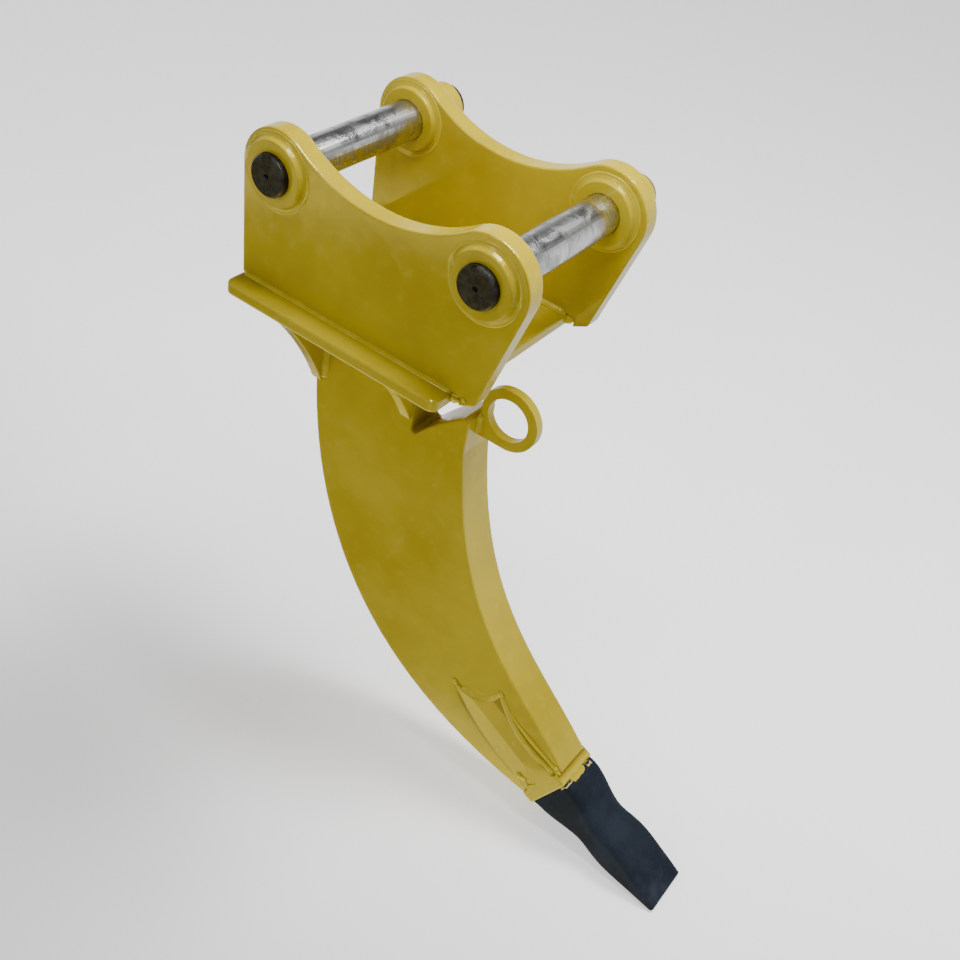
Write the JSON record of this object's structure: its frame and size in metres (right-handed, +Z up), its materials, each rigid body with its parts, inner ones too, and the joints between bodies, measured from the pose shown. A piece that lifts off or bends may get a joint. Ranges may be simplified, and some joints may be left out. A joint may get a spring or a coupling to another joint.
{
  "type": "ripper shank tooth",
  "caption": "Excavator ripper: pin-on bracket with ears and bosses, curved shank plate on gussets, lifting eye, weld-on adapter and chisel tooth.",
  "frame": {"origin": "centre of the front pin on the plane of symmetry", "axes": "+X towards the tooth's tip, +Y along the pins towards the side with the lock collars, +Z up from the shank to the pins"},
  "size_m": [0.7568, 0.3523, 0.9401],
  "materials": {
    "yellow_paint": "gloss",
    "pin_steel": "ground",
    "black_steel": "black oxide",
    "tooth_paint": "satin black paint"
  },
  "bodies": {
    "root": {"ear_left": "yellow_paint", "ear_right": "yellow_paint", "boss_rear_left": "yellow_paint", "boss_rear_right": "yellow_paint", "boss_front_left": "yellow_paint", "boss_front_right": "yellow_paint", "collar_rear": "yellow_paint", "collar_front": "yellow_paint", "pin_rear": "pin_steel", "pin_front": "pin_steel", "lock_bolt_rear": "black_steel", "lock_bolt_front": "black_steel", "base_plate": "yellow_paint", "shank": "yellow_paint", "gusset_rear_left": "yellow_paint", "gusset_rear_right": "yellow_paint", "gusset_front_left": "yellow_paint", "gusset_front_right": "yellow_paint", "lifting_eye": "yellow_paint", "adapter": "yellow_paint", "tooth": "tooth_paint"}
  },
  "joints": []
}
